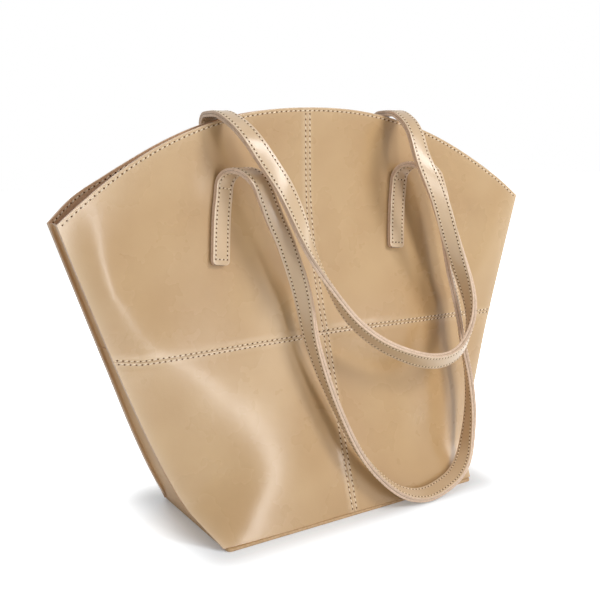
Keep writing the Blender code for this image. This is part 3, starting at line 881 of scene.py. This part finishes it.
def base():
    finishes = (body_face, base_edge)
    panel = slab("base_panel_leather", BASE_WIDTH, BASE_DEPTH, BASE_THICKNESS, 0.0, finishes)
    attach(panel, "bag")
    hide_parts("base_panel")
    foot = BASE_THICKNESS + GAP
    low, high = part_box("base_board")
    finishes = (pressed_board, pressed_board)
    board = slab("base_board_pressed", high.x - low.x, high.y - low.y, BOARD_THICKNESS, foot, finishes)
    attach(board, "bag")
    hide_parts("base_board")


def end_middle_x(side, hand, share):
    """Middle of a sewn end, share 0 at the bottom and 1 at the top."""
    return ENDS_MIDDLE_X[side] + hand * ENDS_APART[side] / 2 + END_LEAN[side] * (share - 1)


def backing_patch(side, hand):
    """Leather patch glued inside a wall behind a sewn handle end."""
    half = STRAP_WIDTH / 2 + BACKING_MARGIN
    low, high = END_TOP - END_LENGTH - BACKING_MARGIN, END_TOP + BACKING_MARGIN

    def place(share, up):
        x = end_middle_x(side, hand, up) + between(-half, half, share)
        point, out = wall_at(side, x, between(low, high, up))
        return point - out * (LEATHER + GUSSET_GAP / 2), np.zeros_like(up)

    node = f"{SIDE_NAMES[side]}_{HAND_NAMES[hand]}_handle_backing"
    size = (BACKING_COLUMNS, BACKING_ROWS)
    finishes = (suede_painted_paler, suede_painted_paler, cut_edge)
    obj = sheet(node + "_leather", *size, place, side == BACK, BACKING_THICKNESS, *finishes)
    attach(obj, "bag")
    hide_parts(node)


# The course of a handle

def sewn_end_course(side, hand, surface=skin):
    """Middle line of a sewn end from bottom to top, with the direction that its outer face looks."""
    share = np.linspace(0, 1, END_POINTS + 1)
    z = between(END_TOP - END_LENGTH, END_TOP, share)
    point, out = wall_at(side, end_middle_x(side, hand, share), z, surface)
    return [(Vector(p + o * STAND_OFF), Vector(o)) for p, o in zip(point, out)]


def front_bend_course(hand):
    """From the top of a sewn end forward and down in a half circle."""
    start = sewn_end_course(FRONT, hand, form)[-1][0]
    centre = Vector((start.x, start.y - FRONT_BEND_RADIUS, start.z))
    drift = FRONT_BEND_DRIFT[hand]
    arc = math.pi * FRONT_BEND_RADIUS
    slope_in = END_LEAN[FRONT] / END_LENGTH * arc
    slope_out = FRONT_LEG_SLOPE[hand] * arc
    course = []
    for i in range(1, FRONT_BEND_POINTS + 1):
        share = i / FRONT_BEND_POINTS
        out = Vector((0, math.cos(math.pi * share), math.sin(math.pi * share)))
        shift = drift * float(smooth_share(share))
        shift += slope_in * share * (1 - share) ** 2 - slope_out * share**2 * (1 - share)
        course.append((centre + out * FRONT_BEND_RADIUS + Vector((shift, 0, 0)), -out))
    return course


def over_mouth_height(hand):
    """Height of the strap's middle where it crosses both mouth edges."""
    nearest = abs(end_middle_x(BACK, hand, 1.0)) - STRAP_WIDTH / 2
    return float(top_height(nearest / half_width(1.0))) + MOUTH_CLEARANCE + STRAP_LAYER + GAP / 2


def back_bend_course(hand):
    """From the top of a sewn end up behind the back wall, over both mouth edges and down in front."""
    start = sewn_end_course(BACK, hand, form)[-1][0]
    x, y = start.x, start.y + RISER_CLEARANCE
    high = over_mouth_height(hand)
    drop = high - over_mouth_height(LEFT) + BACK_BEND_DROP
    drift = BACK_BEND_DRIFT[hand]
    turn_z = high - BACK_BEND_RADIUS
    course = []
    for i in range(1, RISER_POINTS):
        z = between(END_TOP, turn_z, i / RISER_POINTS)
        away = RISER_CLEARANCE * min(i / RISER_EASE_POINTS, 1)
        course.append((Vector((x, y - RISER_CLEARANCE + away, z)), Vector((0, 1, 0))))
    for i in range(MOUTH_TURN_POINTS + 1):
        angle = math.pi / 2 * i / MOUTH_TURN_POINTS
        out = Vector((0, math.cos(angle), math.sin(angle)))
        course.append((Vector((x, y - BACK_BEND_RADIUS, turn_z)) + out * BACK_BEND_RADIUS, out))
    course.append((Vector((x, (y - BACK_BEND_RADIUS) / 2, high)), Vector((0, 0, 1))))
    for i in range(FRONT_TURN_POINTS + 1):
        angle = math.pi / 2 * i / FRONT_TURN_POINTS
        fallen = 1 - math.cos(angle)
        place = Vector((x + drift * fallen, -BACK_BEND_REACH * math.sin(angle), high - drop * fallen))
        look = Vector((0, -drop * math.sin(angle), BACK_BEND_REACH * math.cos(angle)))
        course.append((place, look.normalized()))
    return course


def smooth_path(stations):
    """Catmull-Rom curve through stations; the first and the last one only steer it."""
    path = []
    for i in range(1, len(stations) - 2):
        a, b, c, d = (Vector(station) for station in stations[i - 1 : i + 3])
        for k in range(PATH_STEPS):
            u = k / PATH_STEPS
            bend = (2 * a - 5 * b + 4 * c - d) * u**2 + (3 * b - a - 3 * c + d) * u**3
            path.append((2 * b + (c - a) * u + bend) / 2)
    path.append(Vector(stations[-2]))
    return path


def loop_course(side, start, finish):
    """Free loop between two bends, start and finish being the last two points of each."""
    stations = [(*start[0], 0.0), (*start[1], 0.0)]
    for across, height, away, twist in FRONT_LOOP if side == FRONT else BACK_LOOP:
        x = CENTRE_LINE_X + across * ENDS_APART[FRONT] / 2
        z = between(LOOP_FLOOR_CLEARANCE, start[1].z, height)
        wall, _ = wall_at(FRONT, x, z, form)
        stations.append((x, wall[1] - away * STRAP_WIDTH, z, math.radians(twist)))
    stations += [(*finish[1], 0.0), (*finish[0], 0.0)]
    path = smooth_path(stations)
    face = Vector((0, -side, 0))
    course = []
    for i, spot in enumerate(path):
        ahead = path[min(i + 1, len(path) - 1)].xyz - path[max(i - 1, 0)].xyz
        ahead.normalize()
        flat = (face - ahead * face.dot(ahead)).normalized()
        inward = ahead.cross(Vector((0, 1, 0))).normalized()
        course.append((spot.xyz, flat * math.cos(spot.w) + inward * math.sin(spot.w)))
    return course


def squared(points, looks):
    """Running lengths, middle points, outer faces square to the line, and width directions."""
    ahead = unit(np.gradient(points, axis=0))
    outer = unit(looks - ahead * (looks * ahead).sum(1, keepdims=True))
    return running_length(points), points, outer, np.cross(ahead, outer)


def handle_course(side):
    """Running lengths, middle points, outer faces and width directions along a whole handle."""
    bend = front_bend_course if side == FRONT else back_bend_course
    ends = [sewn_end_course(side, hand) for hand in (LEFT, RIGHT)]
    bends = []
    for hand, end in zip((LEFT, RIGHT), ends):
        # A bend starts from the plain wall. It is moved to the settled one, less and less up to halfway.
        moved = end[-1][0] - sewn_end_course(side, hand, form)[-1][0]
        course = bend(hand)
        fade = [max(0.0, 1 - 2 * i / len(course)) ** 2 for i in range(len(course))]
        bends.append([(point + moved * share, look) for (point, look), share in zip(course, fade)])
    start = (bends[0][-2][0], bends[0][-1][0])
    finish = (bends[1][-2][0], bends[1][-1][0])
    loop = loop_course(side, start, finish)[1:-1]
    course = ends[0] + bends[0] + loop + bends[1][::-1] + ends[1][::-1]
    return squared(np.array([point for point, _ in course]), np.array([look for _, look in course]))


def at_length(course, stops):
    """Middle point, outer face and width direction of a handle at running lengths."""
    point, outer, width = (at_stops(stops, course[0], values) for values in course[1:])
    return point, unit(outer), unit(width)


def strap_sheet(name, course, lift, thickness, half, grow, dome, finishes):
    """One layer of a strap over the handle's whole length, with its ends cut round."""
    whole = course[0][-1]
    body_rows = round(whole / STRAP_STEP)
    rows = body_rows + 2 * CORNER_ROWS
    turn = STRAP_CORNER * (1 - np.cos(np.linspace(0, np.pi / 2, CORNER_ROWS + 1)))
    middle = np.linspace(STRAP_CORNER, whole - STRAP_CORNER, body_rows + 1)
    stops = np.concatenate([turn[:-1], middle, (whole - turn[:-1])[::-1]])

    def place(across, up):
        stop = stops[np.round(up * rows).astype(int)]
        point, outer, width = at_length(course, stop)
        from_end = np.minimum(np.minimum(stop, whole - stop), STRAP_CORNER)
        cut = STRAP_CORNER - np.sqrt(np.maximum(STRAP_CORNER**2 - (STRAP_CORNER - from_end) ** 2, 0))
        out = 2 * crowded(across, STRAP_CROWDING) - 1
        height = lift + dome * (1 - out**2)
        to_edge = np.clip((np.abs(out) - STRAP_WEAR_START) / STRAP_WEAR_WIDTH, 0, 1)
        placed = point + outer * (grow * height)[:, None] + width * (out * (half - cut))[:, None]
        return placed, STRAP_WEAR * to_edge**STRAP_WEAR_POWER

    return sheet(name, STRAP_COLUMNS, rows, place, grow < 0, thickness, *finishes)


def strap_height(out):
    """Height of a strap's domed face, out being 0 in the middle and 1 at the edge."""
    return GAP / 2 + STRAP_SHEET + STRAP_DOME * (1 - out**2)


def strap_rows(course, grow, start, finish):
    """Both edge rows of stitches on one face of a strap, between two running lengths."""
    stops = np.linspace(start, finish, round((finish - start) / STRAP_ROW_STEP))
    point, outer, width = at_length(course, stops)
    height = strap_height(2 * STRAP_ROW_OFFSET / STRAP_WIDTH)
    rows = []
    for edge in (-1, 1):
        line = point + outer * grow * height + width * edge * STRAP_ROW_OFFSET
        rows.append(evenly(line, outer * grow, STRAP_PITCH))
    return rows


def cross_row(course, stop):
    """A row of stitches across a sewn end."""
    point, outer, width = at_length(course, np.array([stop]))
    offset = np.linspace(-1, 1, BOX_ROW_POINTS)[:, None] * STRAP_ROW_OFFSET
    line = point + width * offset + outer * strap_height(offset / (STRAP_WIDTH / 2))
    return evenly(line, np.repeat(outer, BOX_ROW_POINTS, axis=0), STRAP_PITCH)


def calmed(course):
    """The back handle's course with the small waves taken out of the stretch in front of the bag."""
    whole = course[0][-1]
    stops = np.linspace(0, whole, round(whole / CALM_STEP) + 1)
    points, outer, _ = at_length(course, stops)
    free = smooth_share((-points[:, 1:2] - CALM_START) / CALM_FADE)
    # Three spreads out, a point hardly counts.
    reach = round(3 * CALM_SPREAD / CALM_STEP)
    weights = np.exp(-0.5 * (np.arange(-reach, reach + 1) * CALM_STEP / CALM_SPREAD) ** 2)
    weights /= weights.sum()
    soft = []
    for values in (points, outer):
        padded = np.pad(values, ((reach, reach), (0, 0)), mode="edge")
        calm = np.stack([np.convolve(padded[:, k], weights, "valid") for k in range(3)], -1)
        soft.append(between(values, calm, free))
    return squared(*soft)


def handle(side):
    """Both leather layers of a handle, the glue line between them and their stitching."""
    course = handle_course(side)
    if side == BACK:
        course = calmed(course)
    whole = course[0][-1]
    name = SIDE_NAMES[side] + "_handle"
    lift = GAP / 2 + STRAP_SHEET
    half = STRAP_WIDTH / 2
    parts = ("left_end", "left_bend", "loop", "right_bend", "right_end")
    pieces = []
    for layer, grow in (("outer", 1), ("lining", -1)):
        obj = strap_sheet(
            f"{name}_{layer}_leather", course, lift, STRAP_SHEET, half, grow, STRAP_DOME,
            (strap_face_painted_sheen, strap_face_painted_sheen, cut_edge),
        )
        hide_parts(*(f"{name}_{layer}_{part}" for part in parts))
        pieces.append(obj)
    core = strap_sheet(f"{name}_glue", course, GAP / 2, GAP, half - GLUE_INSET, 1, 0.0, (glue, glue, glue))
    pieces.append(core)
    margin = STRAP_ROW_MARGIN
    rows = strap_rows(course, 1, margin, whole - margin)
    rows += strap_rows(course, -1, END_LENGTH + margin, whole - END_LENGTH - margin)
    for stop in (margin, END_LENGTH, whole - END_LENGTH, whole - margin):
        rows.append(cross_row(course, stop))
    pieces.append(rows_of_stitches(f"{name}_stitches", rows, STRAP_PITCH))
    for obj in pieces:
        if obj.modifiers:
            obj.modifiers["eased edges"].width = STRAP_EDGE
            settle(obj)
        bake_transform(obj)


def seam_rows():
    """Rows of stitches on the walls: along the mouth hem and beside the centre and horizontal seams."""

    def row(side, across, level):
        return evenly(skin(side, across, level), outward(side, across, level), WALL_PITCH)

    rows = []
    for side in (FRONT, BACK):
        # The hem's row shows on both faces of the leather.
        across = np.linspace(-HEM_ENDS, HEM_ENDS, WALL_ROW_POINTS)
        line, look = row(side, across, 1 - HEM_DEPTH / top_height(across))
        rows.append((line, look))
        rows.append((line - look * LEATHER, -look))
        for way in (-1, 1):
            level = np.linspace(CENTRE_ROW_FOOT, 1 - 2 * HEM_DEPTH / BAG_HEIGHT, CENTRE_ROW_POINTS)
            across = (along(CENTRE_SEAM, level) + way * CENTRE_ROW_OFFSET) / half_width(level)
            rows.append(row(side, across, level))
            x = np.linspace(-1, 1, WALL_ROW_POINTS) * half_width(CROSS_ROW_LEVEL)
            across, level = shares_at(x, seam_height(x) + way * CROSS_ROW_OFFSET)
            keep = np.abs(across) < CROSS_ROW_ENDS
            rows.append(row(side, across[keep], level[keep]))
    obj = rows_of_stitches("wall_stitches", rows, WALL_PITCH)
    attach(obj, "bag")


# Camera, floor and light

def camera():
    """The photograph's viewing angle."""
    data = bpy.data.cameras.new("camera")
    data.lens = CAMERA_LENS
    data.sensor_width = CAMERA_SENSOR
    obj = bpy.data.objects.new("camera", data)
    bpy.context.scene.collection.objects.link(obj)
    right, up = Vector(CAMERA_RIGHT), Vector(CAMERA_UP)
    forward = up.cross(right).normalized()
    place = Matrix((right, up, -forward)).transposed().to_4x4()
    place.translation = CAMERA_PLACE
    obj.matrix_world = place
    bpy.context.scene.camera = obj


def as_seen(nodes, links):
    """1 for rays of the camera, through glass and off gloss, 0 for the others, which carry light."""
    path = nodes.new("ShaderNodeLightPath")
    share = path.outputs["Is Camera Ray"]
    for ray in ("Is Transmission Ray", "Is Glossy Ray"):
        share = reckoned(nodes, links, "MAXIMUM", share, path.outputs[ray])
    return share


def floor():
    """A pale floor that keeps its shadow, with white added further out where it is seen: painted shade near
    the base.
    """
    build = bmesh.new()
    bmesh.ops.create_grid(build, x_segments=1, y_segments=1, size=FLOOR_HALF)
    made, nodes, links = new_material("floor")
    shader = nodes["Principled BSDF"]
    shader.inputs["Base Color"].default_value = (*FLOOR_COLOUR, 1)
    shader.inputs["Roughness"].default_value = 0.7
    shader.inputs["Specular IOR Level"].default_value = 0.1
    obj = finished("floor", build, made)
    spot = nodes.new("ShaderNodeTexCoord").outputs["Object"]
    half_base = (BASE_WIDTH / 2, BASE_DEPTH / 2, 0)
    for operation, other in (("ABSOLUTE", (0, 0, 0)), ("SUBTRACT", half_base), ("MAXIMUM", (0, 0, 0))):
        step = nodes.new("ShaderNodeVectorMath")
        step.operation = operation
        step.inputs[1].default_value = other
        links.new(spot, step.inputs[0])
        spot = step.outputs["Vector"]
    away = nodes.new("ShaderNodeVectorMath")
    away.operation = "LENGTH"
    links.new(spot, away.inputs[0])
    # Little white near the base and much further out: the floor is painted darker around the base.
    white = nodes.new("ShaderNodeMapRange")
    white.interpolation_type = "SMOOTHSTEP"
    for socket, value in zip(("From Min", "From Max", "To Min", "To Max"), FLOOR_GLOW_WITH_PAINTED_SHADE):
        white.inputs[socket].default_value = value
    links.new(away.outputs["Value"], white.inputs["Value"])
    lift = reckoned(nodes, links, "MULTIPLY", as_seen(nodes, links), white.outputs["Result"])
    shader.inputs["Emission Color"].default_value = (1, 1, 1, 1)
    links.new(lift, shader.inputs["Emission Strength"])


def softbox(name, toward, distance, width, height, power):
    """A soft light looking at the middle of the bag."""
    data = bpy.data.lights.new(name, "AREA")
    data.shape = "RECTANGLE"
    data.size = width
    data.size_y = height
    data.energy = power
    obj = bpy.data.objects.new(name, data)
    bpy.context.scene.collection.objects.link(obj)
    direction = Vector(toward).normalized()
    obj.location = Vector((0, 0, BAG_HEIGHT / 2)) + direction * distance
    obj.rotation_mode = "QUATERNION"
    obj.rotation_quaternion = direction.to_track_quat("Z", "Y")


def world():
    """Even white surroundings, weaker as light than as seen."""
    made = bpy.data.worlds.new("world")
    bpy.context.scene.world = made
    made.use_nodes = True
    nodes, links = made.node_tree.nodes, made.node_tree.links
    shade = nodes["Background"]
    strength = nodes.new("ShaderNodeMapRange")
    strength.inputs["To Min"].default_value = WORLD_LIGHT
    strength.inputs["To Max"].default_value = 1.0
    links.new(as_seen(nodes, links), strength.inputs["Value"])
    links.new(strength.outputs["Result"], shade.inputs["Strength"])
    shade.inputs["Color"].default_value = (1, 1, 1, 1)


camera()
floor()
world()
for light in SOFTBOXES:
    softbox(*light)

for side in (FRONT, BACK):
    for hand in (LEFT, RIGHT):
        wall_panel(side, hand, True)
        wall_panel(side, hand, False)
        backing_patch(side, hand)
for hand in (LEFT, RIGHT):
    gusset(hand, True)
    gusset(hand, False)
base()
seam_rows()
handle(FRONT)
handle(BACK)

bpy.context.scene.view_settings.view_transform = "Standard"
